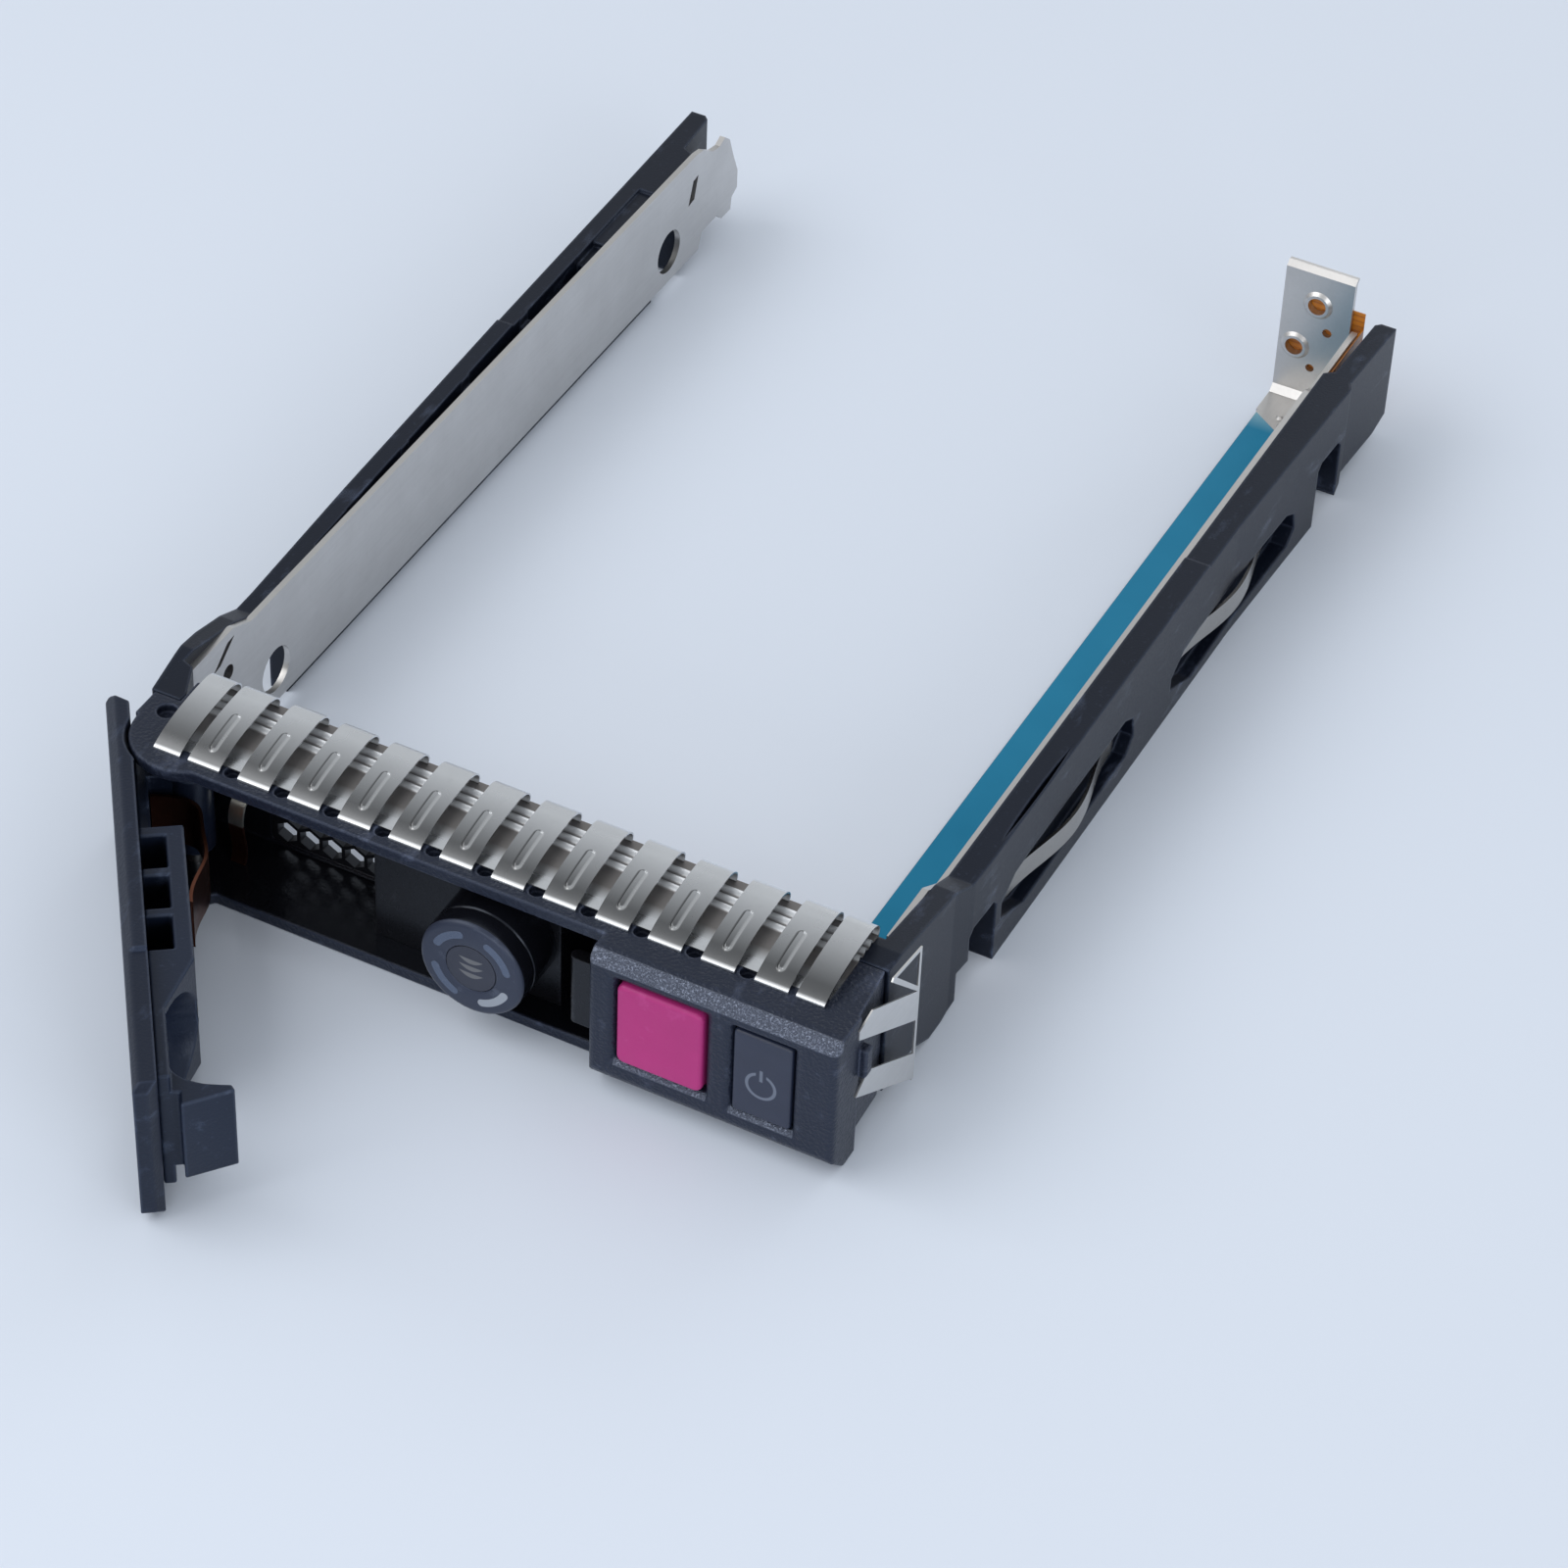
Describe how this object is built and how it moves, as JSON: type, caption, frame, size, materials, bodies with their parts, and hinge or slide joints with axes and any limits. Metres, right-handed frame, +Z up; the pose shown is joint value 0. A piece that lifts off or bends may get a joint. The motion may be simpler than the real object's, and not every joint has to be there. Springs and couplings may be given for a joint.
{
  "type": "hot swap drive caddy",
  "caption": "Open hot swap drive caddy with a swing-out latch lever, push button, status ring, side rails and a drive space between steel plates.",
  "frame": {"origin": "on the drive's centre plane, in the plane of the button block's front face, at the height of the caddy's underside", "axes": "+Y from the bezel back along the rails to the connector end, +Z up out of the open drive space, +X to the right seen from the front"},
  "size_m": [0.0787, 0.1533, 0.0181],
  "materials": {
    "bezel_plastic": "fine spark texture on the front and bevels, smoother on top",
    "lever_plastic": "satin black with a fine textured front",
    "rail_plastic": "fine matt texture, light scuffs",
    "inner_plastic": "satin black",
    "mesh_plastic": "satin black",
    "button_plastic": "moulded magenta, fine spark texture",
    "ring_plastic": "moulded dark grey, satin",
    "ring_cap_plastic": null,
    "light_window": "grey-blue light windows",
    "status_lens": null,
    "circuit_board": "green board",
    "bright_steel": "bright rolled spring steel",
    "satin_steel": "satin rolled sheet steel",
    "spring_steel": "polished spring steel",
    "copper_alloy": "copper-coloured spring strip",
    "blue_film": "blue plastic film",
    "flex_film": "amber printed film"
  },
  "bodies": {
    "carrier": {"bezel_housing": "bezel_plastic", "vent_mesh": "mesh_plastic", "ring_housing": "inner_plastic", "ring_body": "ring_plastic", "ring_light_windows": "light_window", "ring_cap": "ring_cap_plastic", "status_window": "status_lens", "led_board": "circuit_board", "top_finger_strip": "bright_steel", "side_finger_strip": "bright_steel", "left_rail": "rail_plastic", "right_rail": "rail_plastic", "left_side_plate": "satin_steel", "right_side_plate": "satin_steel", "insulator_film": "blue_film", "flex_circuit": "flex_film", "left_front_leaf_spring": "spring_steel", "left_rear_leaf_spring": "spring_steel", "right_front_leaf_spring": "spring_steel", "right_rear_leaf_spring": "spring_steel", "hinge_pin": "bright_steel", "cavity_spring": "copper_alloy", "latch_spring": "spring_steel"},
    "lever": {"lever_cover": "lever_plastic", "lever_frame": "lever_plastic", "lever_spring": "copper_alloy"},
    "release_button": {"release_button": "button_plastic"},
    "latch_catch": {"latch_catch": "inner_plastic"}
  },
  "joints": [
    {"name": "lever_hinge", "type": "hinge", "parent": "carrier", "child": "lever", "pos_m": [-0.0299, 0.0071, 0.0081], "axis": [0, 0, 1], "range_deg": [0, 54.2], "stiffness_Nm_per_rad": 0.01, "springref_deg": -17.19},
    {"name": "button_press", "type": "slide", "parent": "carrier", "child": "release_button", "axis": [0, 1, 0], "range_m": [0, 0.0018]},
    {"name": "catch_slide", "type": "slide", "parent": "carrier", "child": "latch_catch", "axis": [1, 0, 0], "range_m": [0, 0.0018], "stiffness_N_per_m": 400, "springref_m": -0.002, "deforming": ["latch_spring"]}
  ],
  "couplings": [
    {"joint": "catch_slide", "follows": "button_press", "ratio": 1}
  ]
}
